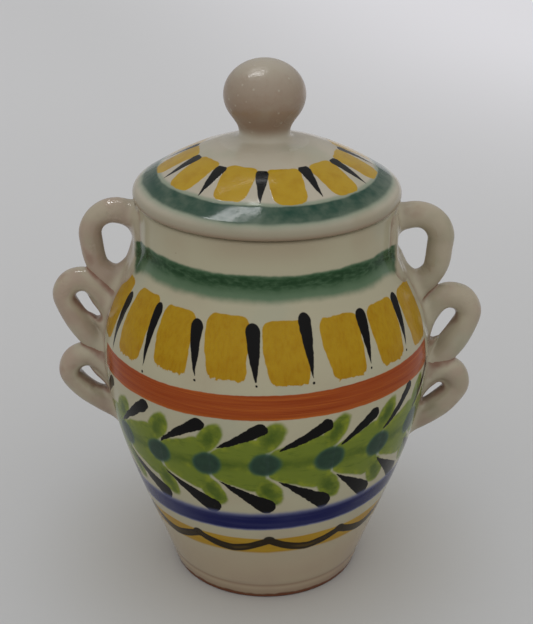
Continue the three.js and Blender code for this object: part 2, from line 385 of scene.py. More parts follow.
RIGHT_CURLS = {
    "upper": dict(
        origin=NECK_RIM, radius=(3.6, 3.5), root=-6.6, at=(5.6, -11.7), bend=6.9, lean=40, sweep=110,
        knee=(11.2, -20.2), land=-27.7,
        smears=[
            ((-1.6, -7, 1.6), (-1.8, -16.5, 1.4)),
            ((1, -16, 1), (2.6, -19.4, 1.1), (5.2, -22, 1.1), (8.6, -22.9, 1.3)),
        ],
        spread=6.5, flank=((-3.1, -5, 3), (-3.1, -15, 3), (-2.2, -18, 3)),
    ),
    "middle": dict(
        origin=BELLY, radius=(3.4, 3.6), root=5, at=(5.6, 9.1), bend=5.1, lean=56, sweep=180,
        knee=(5.4, -2.1), land=-9.5, slot=[(5.5, 8.7, 1.55), (0.7, 2.1, 1.35)],
    ),
    "lower": dict(
        origin=BELLY, radius=(3.4, 3.5), root=-12.9, at=(4.4, -12), bend=4.6, lean=40, sweep=180,
        knee=(2.4, -20.7), land=-26.5, slot=[(4.0, -12.9, 0.95), (-0.6, -16.9, 0.9)],
    ),
}


def catmull_rom(points):
    """A smooth path through points, with its ends carried on in a straight line."""
    points = np.array(points, float)
    padded = np.vstack([2 * points[0] - points[1], points, 2 * points[-1] - points[-2]])
    knots = np.concatenate([[0], np.cumsum(np.sqrt(np.linalg.norm(np.diff(padded, axis=0), axis=1)))])
    path = []
    for i in range(1, len(padded) - 2):
        p, k = padded[i - 1 : i + 3], knots[i - 1 : i + 3]
        t = np.linspace(k[1], k[2], SPAN_STEPS, endpoint=i == len(padded) - 3)[:, None]
        a = [p[j] + (p[j + 1] - p[j]) * (t - k[j]) / (k[j + 1] - k[j]) for j in range(3)]
        b = [a[j] + (a[j + 1] - a[j]) * (t - k[j]) / (k[j + 2] - k[j]) for j in range(2)]
        path.append(b[0] + (b[1] - b[0]) * (t - k[1]) / (k[2] - k[1]))
    return np.vstack(path)


def wall_distance(p):
    """Distance of points from the outside of the jar, negative inside it."""
    r = np.hypot(p[:, 0], p[:, 1])
    z = p[:, 2]
    slope = wall_radius(z + 0.5) - wall_radius(z - 0.5)
    return (r - wall_radius(z)) / np.sqrt(1 + slope**2)


def coil_distance(p, path, radii):
    """Distance of points from a coil whose thickness changes along its path."""
    best = np.full(len(p), 1e9)
    for a, b, ra, rb in zip(path, path[1:], radii, radii[1:]):
        along = b - a
        t = np.clip(((p - a) @ along) / (along @ along), 0, 1)
        d = np.linalg.norm(p - a - t[:, None] * along, axis=1) - (ra + (rb - ra) * t)
        best = np.minimum(best, d)
    return best


def soft_union(a, b, reach):
    """The nearer of two distances, with a fillet of about that reach where they meet."""
    h = np.clip(0.5 + 0.5 * (b - a) / reach, 0, 1)
    return b + (a - b) * h - reach * h * (1 - h)


class Curl:
    """One coil of a handle, with what is smeared on at its root and the slot between its arms."""

    def __init__(
        self, side, origin, radius, root, at, bend, lean, sweep, knee, land,
        slot=(), smears=(), spread=0, flank=(),
    ):
        self.side = side
        self.origin = np.array(origin, float)
        angles = np.radians(lean + sweep * np.linspace(0.5, -0.5, BEND_POINTS))
        turn = self.origin + at + bend * np.stack([np.cos(angles), np.sin(angles)], 1)
        route = np.vstack([self.on_wall(root), turn, self.origin + knee, self.on_wall(land)])
        self.path = catmull_rom([(side * r, 0, z) for r, z in route])
        self.radii = self.thickness(*radius)
        self.slot = slot and self.placed(catmull_rom(slot))
        self.smears = [self.placed(smear) for smear in smears]
        if flank:
            self.smears += [self.placed(flank, -spread), self.placed(flank, spread)]

    def on_wall(self, up):
        """Radius and height of a point buried in the wall, that far above the origin."""
        z = self.origin[1] + up
        return np.array((wall_radius(z) - COIL_BURY, z))

    def placed(self, stops, y=0):
        """Points in the frame, and their radii."""
        outward, up = self.origin
        points = np.array([(self.side * (outward + r), y, up + z) for r, z, _ in stops])
        return points, [radius for _, _, radius in stops]

    def thickness(self, first, second):
        """Radius along the coil: a little uneven, as rolled by hand, and thinner where it is pressed down."""
        t = np.linspace(0, 1, len(self.path))
        even = first + (second - first) * np.clip(2 * t, 0, 1)
        hand = 1 + HAND_UNEVENNESS * np.sin(HAND_WAVES * t + self.origin[1] + self.side)
        pressed = np.clip((t - 1 + COIL_END_SHARE) / COIL_END_SHARE, 0, 1)
        return hand * (even + (COIL_END_RADIUS - even) * pressed)

    def distance(self, p):
        d = coil_distance(p, self.path, self.radii)
        for smear in self.smears:
            d = soft_union(d, coil_distance(p, *smear), WALL_FILLET)
        if self.slot:
            points, _ = self.slot
            inward = points[0] + (points[-1] - points[0]) * WEB_LENGTH
            web = coil_distance(p, (points[0], inward), (WEB_RADIUS, WEB_RADIUS))
            d = soft_union(d, web, COIL_FILLET)
            d = -soft_union(-d, self.slot_distance(p), SLOT_FILLET)
        return d

    def slot_distance(self, p):
        """Distance of points from the slot, which runs right through along Y."""
        return coil_distance(p * (1, 0, 1), *self.slot)


class Laying:
    """The field of one curl's piece: its clay over the wall and the curls laid before it."""

    def __init__(self, earlier, curl):
        self.earlier = earlier
        self.curl = curl

    def __call__(self, p):
        own = self.curl.distance(p)
        wall = wall_distance(p)
        coils, under, fillet, sink, on_coil = own, wall, WALL_FILLET, SKIRT_SINK, 0.0
        if self.earlier:
            laid = self.earlier[0].distance(p)
            for curl in self.earlier[1:]:
                laid = soft_union(curl.distance(p), laid, COIL_FILLET)
            coils = soft_union(own, laid, COIL_FILLET)
            under = soft_union(laid, wall, WALL_FILLET)
            on_coil = np.clip(0.5 + (wall - laid) / WALL_FILLET, 0, 1)
            fillet = WALL_FILLET + (COIL_FILLET - WALL_FILLET) * on_coil
            sink = SKIRT_SINK + (COIL_SINK - SKIRT_SINK) * on_coil
        self.under = under
        self.on_coil = on_coil
        t = np.clip((own - SINK_START * fillet) / (SINK_SPAN * fillet), 0, 1)
        whole = soft_union(coils, wall, WALL_FILLET) + sink * t * t * (3 - 2 * t)
        whole = -soft_union(-whole, self.room_under_rim(p, wall), SKIRT_TOP_ROUND)
        return np.maximum(np.maximum(whole, -under - SKIRT_DEPTH), own - SKIRT_REACH)

    @staticmethod
    def room_under_rim(p, wall):
        """How far points lie below the end of the clay on the neck, which rises off the wall to let the coils
        pass under it."""
        return SKIRT_TOP + SKIRT_TOP_RISE * np.clip(wall - SKIRT_TOP_CLEAR, 0, None) - p[:, 2]

    def slope(self, p, probe=0.05):
        """How the field rises along X, Y and Z."""
        steps = probe * np.eye(3)
        return np.stack([(self(p + e) - self(p - e)) / (2 * probe) for e in steps], 1)


def surface_net(field, low, step):
    """Quads on the zero level of a sampled field, with one vertex in each cell that it crosses."""
    inside = field < 0
    cells = tuple(n - 1 for n in field.shape)
    total = np.zeros(cells + (3,))
    count = np.zeros(cells)
    crossings = []
    for axis in range(3):
        before = tuple(slice(0, -1) if k == axis else slice(None) for k in range(3))
        after = tuple(slice(1, None) if k == axis else slice(None) for k in range(3))
        at = np.argwhere(inside[before] != inside[after])
        value, following = field[before][tuple(at.T)], field[after][tuple(at.T)]
        point = at.astype(float)
        point[:, axis] += value / (value - following)
        across = [k for k in range(3) if k != axis]
        ring = []
        for back_u, back_v in ((1, 1), (0, 1), (0, 0), (1, 0)):
            cell = at.copy()
            cell[:, across[0]] -= back_u
            cell[:, across[1]] -= back_v
            np.add.at(total, tuple(cell.T), point)
            np.add.at(count, tuple(cell.T), 1)
            ring.append(cell)
        crossings.append((ring, (value < 0) != (axis == 1)))
    used = count > 0
    index = np.full(cells, -1)
    index[used] = np.arange(used.sum())
    vertices = low + step * total[used] / count[used][:, None]
    faces = []
    for ring, leaving in crossings:
        quads = np.stack([index[tuple(cell.T)] for cell in ring], 1)
        quads[~leaving] = quads[~leaving][:, ::-1]
        faces.extend(quads.tolist())
    return vertices, faces


def curl_mesh(laying):
    """Mesh of one curl, its normals and how deep each vertex lies in a crease, from 0 to 1."""
    curl = laying.curl
    margin = SKIRT_REACH + curl.radii.max() + GRID_ROOM
    bones = np.vstack([curl.path[::BONE_EVERY]] + [points for points, _ in curl.smears])
    low, high = bones.min(0) - margin, bones.max(0) + margin
    axes = [np.arange(a, b, COIL_GRID) for a, b in zip(low, high)]
    grid = np.stack(np.meshgrid(*axes, indexing="ij"), -1)
    points = grid.reshape(-1, 3)
    near = np.zeros(len(points), bool)
    for bone in bones:
        near |= np.linalg.norm(points - bone, axis=1) < margin + NEAR_ROOM
    values = np.ones(len(points))
    values[near] = laying(points[near])
    vertices, faces = surface_net(values.reshape(grid.shape[:3]), low, COIL_GRID)
    for _ in range(SETTLING_ROUNDS):
        slope = laying.slope(vertices)
        steepness = np.maximum((slope**2).sum(1), LEAST_STEEPNESS)
        step = np.clip(laying(vertices) / steepness, -SETTLING_STEP, SETTLING_STEP)
        vertices = vertices - step[:, None] * slope
    normals = laying.slope(vertices)
    normals /= np.linalg.norm(normals, axis=1)[:, None]
    laying(vertices)
    crease = np.exp(-np.clip(laying.under, 0, None) / CREASE_REACH)
    crease = crease * (WALL_CREASE + (1 - WALL_CREASE) * laying.on_coil)
    if curl.slot:
        off_slot = np.clip(curl.slot_distance(vertices) - SLOT_CREASE_START, 0, None)
        crease = np.maximum(crease, SLOT_CREASE * np.exp(-off_slot / SLOT_CREASE_REACH))
    return vertices, faces, normals, crease


def build_handle(name, side, curls, material):
    """The pieces of one handle. Each curl is laid over those before it."""
    laid = []
    for place, sizes in curls.items():
        curl = Curl(side, **sizes)
        vertices, faces, normals, crease = curl_mesh(Laying(list(laid), curl))
        node = f"{name}_{place}_curl"
        piece = new_piece(f"{node}_clay", vertices, faces, "jar", "handle_glaze", node, material)
        piece.data.normals_split_custom_set_from_vertices(normals.tolist())
        store(piece, "crease", crease)
        laid.append(curl)


# Shader arithmetic

GLOSS = 0.13
SPECULAR = 0.11
HANDLE_SPECULAR = 0.3
KNOB_GLOSS = 0.26
KNOB_SPECULAR = 0.4

# How far apart the noise of two seeds lies
SEED_STEP = (7.3, 3.1, 5.7)
COPY_SEED_STEP = 31.7


def arithmetic(kind):
    """A function for one kind of step in a shader's arithmetic."""
    return lambda *values: operate(kind, *values)


class Term:
    """A number that a shader works out at each point. Arithmetic on terms adds nodes to their tree."""

    def __init__(self, socket):
        self.socket = socket

    def __rsub__(self, other):
        return operate("SUBTRACT", other, self)

    __add__ = __radd__ = arithmetic("ADD")
    __sub__ = arithmetic("SUBTRACT")
    __mul__ = __rmul__ = arithmetic("MULTIPLY")
    __truediv__ = arithmetic("DIVIDE")
    __abs__ = arithmetic("ABSOLUTE")


def feed(node, inputs):
    """Links terms to a node's inputs, and sets constants on them."""
    for name, value in dict(inputs).items():
        if isinstance(value, Term):
            node.id_data.links.new(value.socket, node.inputs[name])
        else:
            node.inputs[name].default_value = value


def add_node(tree, kind, inputs=(), **settings):
    node = tree.nodes.new(kind)
    for name, value in settings.items():
        setattr(node, name, value)
    feed(node, inputs)
    return node


def operate(kind, *values):
    tree = next(value.socket.id_data for value in values if isinstance(value, Term))
    return Term(add_node(tree, "ShaderNodeMath", enumerate(values), operation=kind).outputs[0])


least = arithmetic("MINIMUM")
most = arithmetic("MAXIMUM")


def length(a, b):
    return operate("SQRT", a * a + b * b)


def ramp(value, start, end):
    """Rises smoothly from 0 at start to 1 at end, which may lie either way round."""
    inputs = {"Value": value, "From Min": start, "From Max": end}
    node = add_node(value.socket.id_data, "ShaderNodeMapRange", inputs, interpolation_type="SMOOTHSTEP")
    return Term(node.outputs[0])


def up_to(value, level, soft):
    """1 up to a level and 0 past it, with an edge of that softness."""
    return ramp(value, level + soft, level - soft)


def band(value, low, high, soft_low, soft_high):
    """1 between two levels, with edges of the given softness."""
    return ramp(value, low - soft_low, low + soft_low) * up_to(value, high, soft_high)


def brush_stroke(u, v, a, ra, b, rb, power=1.0):
    """Distance in the plane from a stroke that changes from radius ra at a to rb at b."""
    along = (b[0] - a[0], b[1] - a[1])
    reach = along[0] ** 2 + along[1] ** 2
    du, dv = u - a[0], v - a[1]
    t = most(0.0, least(1.0, du * (along[0] / reach) + dv * (along[1] / reach)))
    radius = operate("POWER", t, power) * (rb - ra) + ra
    return length(du - t * along[0], dv - t * along[1]) - radius


def dab(u, v, centre, semi, heading):
    """Distance, about right near its edge, from an oval dab whose long half-axis has that heading."""
    c, s = math.cos(math.radians(heading)), math.sin(math.radians(heading))
    du, dv = u - centre[0], v - centre[1]
    along = (du * c + dv * s) * (1 / semi[0])
    across = (dv * c - du * s) * (1 / semi[1])
    return (length(along, across) - 1.0) * semi[1]


def rounded_box(u, v, half_u, half_v, corner):
    """Distance from an upright box with round corners."""
    du = most(abs(u) - half_u + corner, 0.0)
    dv = most(abs(v) - half_v + corner, 0.0)
    return length(du, dv) - corner


def repeat(angle, motif, shift=0.0):
    """Which of a motif's copies round the axis a point belongs to, and its angle from that copy. The copy's
    share runs half a pitch each way from shift."""
    pitch = 360 / motif.count
    turns = (angle - motif.first - shift) / pitch + 0.5
    number = operate("FLOOR", turns)
    offset = (turns - number - 0.5) * pitch + shift
    return operate("FLOORED_MODULO", number, float(motif.count)), offset


class Surface:
    """A glazed surface being painted: its coordinates, its colour so far and its relief in millimetres."""

    def __init__(self, name, colour):
        self.material = bpy.data.materials.new(name)
        self.material.use_nodes = True
        place = self.new("ShaderNodeTexCoord")
        scaling = {0: Term(place.outputs["Object"]), "Scale": 1 / MM}
        self.point = Term(self.new("ShaderNodeVectorMath", scaling, operation="SCALE").outputs[0])
        split = self.new("ShaderNodeSeparateXYZ", {0: self.point})
        self.x, self.y, self.z = (Term(socket) for socket in split.outputs)
        self.angle = operate("ARCTAN2", self.x, 0.0 - self.y) * math.degrees(1)
        self.sway = operate("SINE", self.angle * DEGREE)
        self.colour = colour
        # Glaze is never quite flat: a fine ripple and a broad one
        self.relief = self.grain(0.35, 90) * 0.035 + self.grain(0.09, 91) * 0.12

    def new(self, kind, inputs=(), **settings):
        return add_node(self.material.node_tree, kind, inputs, **settings)

    def grain(self, fineness, seed, stretch=(1, 1, 1), detail=2.0):
        """Noise from about -0.3 to 0.3, with that many cells in a millimetre. Each seed gives another."""
        moving = {0: self.point, 1: [fineness * k for k in stretch], 2: [seed * k for k in SEED_STEP]}
        moved = self.new("ShaderNodeVectorMath", moving, operation="MULTIPLY_ADD")
        inputs = {"Vector": Term(moved.outputs[0]), "Scale": 1, "Detail": detail}
        return Term(self.new("ShaderNodeTexNoise", inputs).outputs[0]) - 0.5

    def chance(self, index, seed):
        """A fixed value from -0.5 to 0.5 for each copy of a motif."""
        inputs = {"W": index + seed * COPY_SEED_STEP}
        node = self.new("ShaderNodeTexWhiteNoise", inputs, noise_dimensions="1D")
        return Term(node.outputs["Value"]) - 0.5

    def specks(self, fineness, rare, radius):
        """1 on scattered dots of that radius, in the share of the cells above rare."""
        node = self.new("ShaderNodeTexVoronoi", {"Vector": self.point, "Scale": fineness})
        near = ramp(Term(node.outputs["Distance"]), radius * fineness * 1.3, radius * fineness * 0.6)
        return near * ramp(Term(node.outputs["Color"]), rare - 0.01, rare + 0.01)

    def mark(self, name):
        """A value stored on the mesh."""
        node = self.new("ShaderNodeAttribute", attribute_name=name)
        return Term(node.outputs["Fac"])

    def lay(self, colour, cover, raised=0.0):
        """Paints a colour where cover is 1, raised by that many millimetres."""
        node = self.new("ShaderNodeMix", {0: cover, 6: self.colour, 7: colour}, data_type="RGBA")
        self.colour = Term(node.outputs[2])
        if raised:
            self.relief += cover * raised

    def finish(self, roughness=GLOSS, specular=SPECULAR):
        bump = self.new("ShaderNodeBump", {"Distance": MM, "Height": self.relief})
        inputs = {
            "Base Color": self.colour,
            "Roughness": self.grain(0.08, 92) * 0.08 + roughness,
            "Specular IOR Level": specular,
            "Normal": Term(bump.outputs[0]),
        }
        feed(self.material.node_tree.nodes["Principled BSDF"], inputs)
        return self.material


# Colours


def srgb(r, g, b):
    """A colour given as screen values from 0 to 255, in linear light."""
    values = np.array((r, g, b)) / 255
    linear = np.where(values <= 0.04045, values / 12.92, ((values + 0.055) / 1.055) ** 2.4)
    return (*linear.tolist(), 1.0)


CREAM = srgb(169, 163, 139)
CREAM_WARM = srgb(163, 151, 128)
CREAM_COOL = srgb(160, 160, 140)
LID_CREAM = srgb(177, 169, 152)
LID_EDGE_SHADED_CREAM = srgb(142, 134, 114)
FOOT_CREAM = srgb(169, 152, 129)
HANDLE_CREAM = srgb(164, 153, 133)
HANDLE_PINK = srgb(156, 134, 119)
HANDLE_OLIVE = srgb(150, 145, 122)
POOLED_GLAZE = srgb(175, 167, 145)
KNOB_CREAM = srgb(149, 135, 118)
THIN_GLAZE = srgb(132, 104, 82)
CREASE = srgb(118, 74, 56)
TERRACOTTA = srgb(100, 58, 40)
SPECK = srgb(96, 70, 48)
YELLOW = srgb(163, 127, 0)
YELLOW_DEEP = srgb(148, 104, 0)
LID_YELLOW = srgb(172, 138, 20)
BLACK = srgb(7, 6, 6)
GREEN = srgb(34, 68, 38)
GREEN_DEEP = srgb(20, 46, 22)
GREEN_WASH = srgb(78, 106, 80)
LID_GREEN = srgb(14, 58, 45)
LID_GREEN_WASH = srgb(98, 124, 104)
ORANGE = srgb(144, 60, 6)
ORANGE_PALE = srgb(176, 98, 34)
ORANGE_DEEP = srgb(122, 42, 4)
LEAF = srgb(100, 115, 28)
LEAF_DARK = srgb(62, 82, 24)
LEAF_PALE = srgb(132, 140, 40)
BERRY = srgb(36, 54, 44)
BERRY_EDGE = srgb(46, 78, 64)
BERRY_WASH = srgb(128, 148, 130)
BLUE = srgb(4, 10, 70)
BLUE_WASH = srgb(92, 98, 136)
LINE = srgb(24, 18, 12)


def glaze(name, colour=CREAM):
    """Bare glaze: soft clouds of warmer and cooler cream, and a few specks."""
    s = Surface(name, colour)
    s.lay(CREAM_WARM, ramp(s.grain(0.05, 1), 0.0, 0.22) * 0.5)
    s.lay(CREAM_COOL, ramp(s.grain(0.06, 2), 0.02, 0.2) * 0.5)
    s.lay(SPECK, s.specks(0.2, 0.79, 0.2) * 0.6, -0.03)
    return s


# Painted ornament. Heights are above the table and angles run from the front towards the right.

NECK_STROKE = Motif(low=92.6, high=99.4, reach=33.6, pressed=0.6, ends=(67, 73), droop=3.2, droops=(58, 88))
DABS = Motif(count=17, first=6.6, middle=81.4, half_height=7.2, half_width=5.8, corner=2.2, slant=2.1)
DROPS = Motif(count=17, first=-4.2, top=(87.0, 1.8), tip=(76.2, 0.1), dot=(75.1, 0.3), end=75)
ORANGE_BAND = Motif(low=65.7, high=72.2, end=74)
GARLAND = Motif(count=18, first=0.7, height=52.4)
BLUE_BAND = Motif(low=28.9, high=35.5, sway=1.7)
LOW_BAND = Motif(low=19.7, high=25.3, sway=1.0)
SCALLOPS = Motif(count=11, first=18, low=21.4, cusp=24.7, half_width=1.4, spot=1.6, curve=1.7)
LID_DABS = Motif(count=11, first=12.4, inner=17.4, outer=28.3, half_width=4.3, corner=2.2)
LID_WEDGES = Motif(count=11, first=-3.6, wide=(19.2, 1.65), tip=(27.6, 0.1), blunt=17.9)
LID_RING = Motif(low=29.0, high=33.6, side_low=0.5, side_high=1.4)

# One unit of the garland, in millimetres from its berry. Blades and strokes run from a point and a radius to
# another, and strokes swell by a power. The others are dabs, with a centre, half-axes and a heading.
BLADES = [
    ((-10.6, 1.7), 3.5, (-3, 4.2), 3.6),
    ((-10.6, -2.1), 3.4, (-3, -5.2), 3.6),
    ((-11.5, 0), 2.5, (-2, 0), 2.5),
]
UPPER_STROKE = ((-11.4, 4.4), 0.1, (-0.9, 10.6), 1.75, 0.65)
LOWER_STROKE = ((-11.4, -5.6), 0.1, (0.6, -14.4), 2.5, 0.9)
UPPER_TIP = ((1.3, 7.8), (5.2, 2.8), 57)
UPPER_SHADE = ((1.6, 8.0), (3.6, 1.9), 57)
LOWER_TIP = ((1.0, -9.0), (5.2, 3.0), -60)
LOWER_SHADE = ((1.2, -9.4), (3.6, 2.0), -60)
BERRY_DAB = ((0, 0), (3.95, 3.5), 14)
BERRY_HALO = ((0, 0), (4.7, 4.2), 14)

# Heights where tints of the glaze, painted shade and painted highlight begin and end
FOOT_TINT = (30, 10)
FOOT_BLUSH = (17, 4)
FOOT_THIN = (5.5, 1.2)
FOOT_BARE = (1.9, 1.1)
RIM_TINT_AND_SHADE = (RIM_HEIGHT - 8, RIM_HEIGHT - 1)
LID_EDGE_SHADE_BAND = (LID_SEAT + 4.4, LID_SEAT + 2)
LID_EDGE_THIN = (LID_SEAT + 2.2, LID_SEAT + 0.2)
KNOB_BALL = (LID_TOP + 1.5, LID_TOP + 5)
KNOB_SHADE = (KNOB_TOP - 3, KNOB_TOP - 13)
KNOB_LIT_TOP = (KNOB_TOP - 5, KNOB_TOP)
KNOB_LINE = LID_TOP + 5.5

# Paint: softness of edges, how far it stands up, and how fast black strokes thin towards their tips
DAB_SOFT = 0.14
STROKE_SOFT = 0.12
STROKE_RAISED = 0.05
PAINT_RAISED = 0.03
LEAF_RAISED = 0.015
TAPER = 1.2


def handle_side(s):
    """Angle from the front or the back, whichever is nearer: 90 at the handles."""
    turned = abs(s.angle)
    return least(turned, 180 - turned)


def arc(height):
    """Millimetres along the wall in one degree at a height."""
    return DEGREE * float(wall_radius(height))


def paint_neck(s):
    """Green stroke round the neck, darkest along its upper edge. Its ends run onto the clay smeared over the
    handles' roots, but not onto the coils. There they spread where the brush was pressed."""
    low, high = NECK_STROKE.low, NECK_STROKE.high
    side = handle_side(s) + s.grain(0.3, 3) * 4
    ending = ramp(side, *NECK_STROKE.ends)
    pressed = ending * NECK_STROKE.pressed
    droop = ramp(side, *NECK_STROKE.droops) * NECK_STROKE.droop
    uneven = s.grain(0.4, 5)
    z = s.z + droop + s.grain(0.06, 4) * 2.4 + uneven * 0.7
    whole = up_to(abs(s.x) + s.sway * 0.5 + uneven * 1.2, NECK_STROKE.reach, 0.7)
    wash = band(z, low - pressed, high + pressed, 1.1, 0.4)
    core = most(band(z, low + 2.5, high - 0.3, 1.8, 0.5), ending * wash)
    mottle = ramp(s.grain(0.8, 6, stretch=(0.6, 0.6, 1.4), detail=3), -0.25, 0.2)
    s.lay(GREEN_WASH, wash * whole * 0.92)
    s.lay(GREEN, core * whole * (mottle * 0.34 + 0.62))
    s.lay(GREEN_DEEP, band(z, high - 3.4, high - 1.0, 1.0, 0.7) * whole * mottle * 0.6)


def shoulder_lean(s):
    """How far the strokes on the shoulder lean to the right, in millimetres, towards the handles."""
    return ramp(abs(s.sway), 0.45, 0.85) * ((s.z - DABS.middle) * 0.17 - s.sway * 1.2)


def paint_dabs(s):
    """Yellow dabs round the shoulder, narrower and ragged below."""
    index, offset = repeat(s.angle, DABS)
    middle, half_height = DABS.middle, DABS.half_height
    u = offset * arc(middle) - shoulder_lean(s) + s.chance(index, 1) * 0.7
    # By hand they came out higher left of the front, and taller farther left
    tall = ramp(s.angle, -45, -48) * 1.05
    lift = ramp(s.angle, -3, -5) * 1.2 - tall
    v = s.z - middle - lift + s.chance(index, 2) * 0.8
    v = v / (tall * (1 / half_height) + 1.0)
    depth = ramp(v, half_height, -half_height)
    left = depth * depth * (DABS.slant * 0.5)
    edge = s.grain(0.35, 7) * 0.9 + ramp(v, -5.5, -7) * s.grain(1.1, 8) * 1.6
    shape = rounded_box(u - left, v, DABS.half_width - left, half_height, DABS.corner) + edge
    cover = up_to(shape, 0, DAB_SOFT)
    s.lay(YELLOW, cover * 0.97, PAINT_RAISED)
    bristles = s.grain(1.3, 26, stretch=(1, 1, 0.2))
    brushed = ramp(bristles, -0.1, 0.25) * 0.45
    pool = ramp(s.grain(0.3, 9), -0.12, 0.25) * 0.45 + ramp(v, -2, -7) * 0.3 + brushed
    s.lay(YELLOW_DEEP, cover * pool * 0.75)
    s.relief += cover * bristles * 0.08


def paint_drops(s):
    """Black drops between the dabs, each with a dot at its tip."""
    index, offset = repeat(s.angle, DROPS)
    (top, wide), (tip, fine), (dot, drip) = DROPS.top, DROPS.tip, DROPS.dot
    lean = s.sway * -1.1 + 0.9 + s.chance(index, 3) * 0.9
    fall = (top - s.z) / (top - tip)
    # By hand one right of the front went astray, and those on the left came out longer
    stray = ramp(s.angle, 6, 8) * ramp(s.angle, 28, 26)
    left = ramp(s.angle, -34, -36)
    hang = ramp(s.angle, 9, 7) * 0.85 - left * 0.85 + ramp(s.angle, -56, -58) * 2.1 - stray * 1.6
    u = offset * arc(DABS.middle) - shoulder_lean(s) - lean * (fall - 0.5) + s.grain(0.4, 10) * 0.6
    u = u + stray * 1.4
    v = (s.z + hang + s.chance(index, 4) * 0.9 - top) * (1.0 - left * 0.19 - stray * 0.13) + top
    stroke = brush_stroke(u, v, (0, top), wide, (0, tip), fine, TAPER) + s.chance(index, 8) * 0.4
    drop = length(u, v - dot) - drip
    clear = up_to(handle_side(s), DROPS.end, 0.5)
    s.lay(BLACK, up_to(least(stroke, drop), 0, STROKE_SOFT) * clear, STROKE_RAISED)


def paint_orange_band(s):
    """Band over the belly, streaked by the brush, that stops short of the handles."""
    low, high = ORANGE_BAND.low, ORANGE_BAND.high
    z = s.z - s.sway * 0.9 + s.grain(0.05, 11) * 1.0 + s.grain(0.5, 12) * 0.25
    side = handle_side(s) + s.grain(0.3, 13) * 3
    cover = band(z, low, high, 0.16, 0.14) * up_to(side, ORANGE_BAND.end, 0.4)
    streak = s.grain(1.0, 14, stretch=(0.04, 0.04, 3.0), detail=3)
    fringe = ramp(z, low + 1.4, low)
    s.lay(ORANGE, cover * 0.97, PAINT_RAISED)
    s.lay(ORANGE_DEEP, cover * ramp(streak, 0.02, -0.2) * 0.6)
    s.lay(ORANGE_PALE, cover * (ramp(streak, 0.0, 0.25) * 0.5 + fringe * 0.35))
    s.relief += cover * streak * 0.04


def garland_hang(s):
    """How far the garland is raised, in millimetres. It hangs lower on the left."""
    return least(s.sway * 3.6, s.sway * 0.8)


def garland_place(s, shift, push=0.0):
    """Copy of the garland's unit, and the place on it in millimetres from its berry. Push moves the copies
    back by that many degrees."""
    height = GARLAND.height
    swing = ramp(s.angle, 0, 22) - ramp(s.angle, 90, 180)
    index, offset = repeat(s.angle - swing * 2.6 + 1.2 + push, GARLAND, shift / arc(height))
    v = s.z - height - garland_hang(s) + s.chance(index, 5) * 0.9
    return index, offset * arc(height), v


def paint_garland(s):
    """Berries with leaf blades on their left and a leaf tip above and below."""
    wobble = s.grain(0.25, 15) * 1.1
    _, u, v = garland_place(s, -6.3)
    upper, lower, middle = (brush_stroke(u, v, *blade) for blade in BLADES)
    blades = least(middle, least(upper, lower))
    vein = ramp(middle, 0.4, -2.6)
    index, u, v = garland_place(s, 0)
    stretch = s.chance(index, 6) * 1.2
    above, below = u - stretch, u - stretch * 0.6
    tips = least(dab(above, v, *UPPER_TIP), dab(below, v, *LOWER_TIP))
    leaf = least(blades, tips) + wobble
    cover = ramp(leaf, 0.45, -0.35)
    s.lay(BERRY_WASH, ramp(dab(u, v, *BERRY_HALO) + wobble, 0.8, -0.6) * 0.6)
    s.lay(LEAF, cover * 0.96, LEAF_RAISED)
    mottle = s.grain(0.2, 16) * 0.9 + s.grain(0.9, 27) * 0.6 + 0.8
    shade = ramp(least(dab(above, v, *UPPER_SHADE), dab(below, v, *LOWER_SHADE)), 1.2, -1.4)
    s.lay(LEAF_DARK, cover * most(shade, vein * 0.75) * mottle)
    streak = ramp(s.grain(0.8, 43, stretch=(0.3, 0.3, 1.3)), 0.03, 0.26)
    s.lay(LEAF_DARK, cover * streak * 0.4)
    s.lay(LEAF_PALE, cover * ramp(leaf, -2.4, -0.3) * ramp(s.grain(0.4, 28), -0.12, 0.18) * 0.7)
    berry = dab(u, v, *BERRY_DAB) + wobble * 0.6
    s.lay(BERRY_EDGE, ramp(berry, 0.7, -0.5) * 0.9, LEAF_RAISED)
    s.lay(BERRY, ramp(berry, 0.3, -1.1) * (s.grain(0.7, 29) * 0.6 + 0.8))


def paint_garland_strokes(s):
    """Black strokes above and below the leaves. The upper ones tilt towards the handles."""
    _, u, v = garland_place(s, -4.2, s.sway * s.sway * 7.0)
    u = u + s.grain(0.35, 17) * 0.8
    v = v + s.grain(0.35, 18) * 0.8
    (start, _), _, (end, _), _, _ = UPPER_STROKE
    level = v + garland_hang(s) * 0.8 - (u - end) * ramp(s.sway, -0.3, -0.85) * 0.32
    level = level - (u - start) * ramp(s.sway, 0.65, 0.9) * 0.24
    strokes = least(brush_stroke(u, level, *UPPER_STROKE), brush_stroke(u, v, *LOWER_STROKE))
    ragged = s.grain(1.1, 46) * 0.45
    s.lay(BLACK, up_to(strokes + ragged, 0, STROKE_SOFT), STROKE_RAISED)


def paint_blue_band(s):
    """Band under the garland, paler on the left."""
    z = s.z - s.sway * BLUE_BAND.sway + s.grain(0.07, 19) * 0.9 + s.grain(0.5, 20) * 0.3
    wash = band(z, BLUE_BAND.low, BLUE_BAND.high, 0.35, 0.9)
    core = band(z, BLUE_BAND.low + 0.4, BLUE_BAND.high - 0.8, 0.5, 1.1)
    streak = ramp(s.grain(0.4, 21, stretch=(0.15, 0.15, 1.6)), -0.3, 0.15)
    thin = ramp(s.sway, -0.35, -0.8) * 0.2
    s.lay(BLUE_WASH, wash * 0.9)
    s.lay(BLUE, core * (streak * 0.12 + 0.86 - thin))


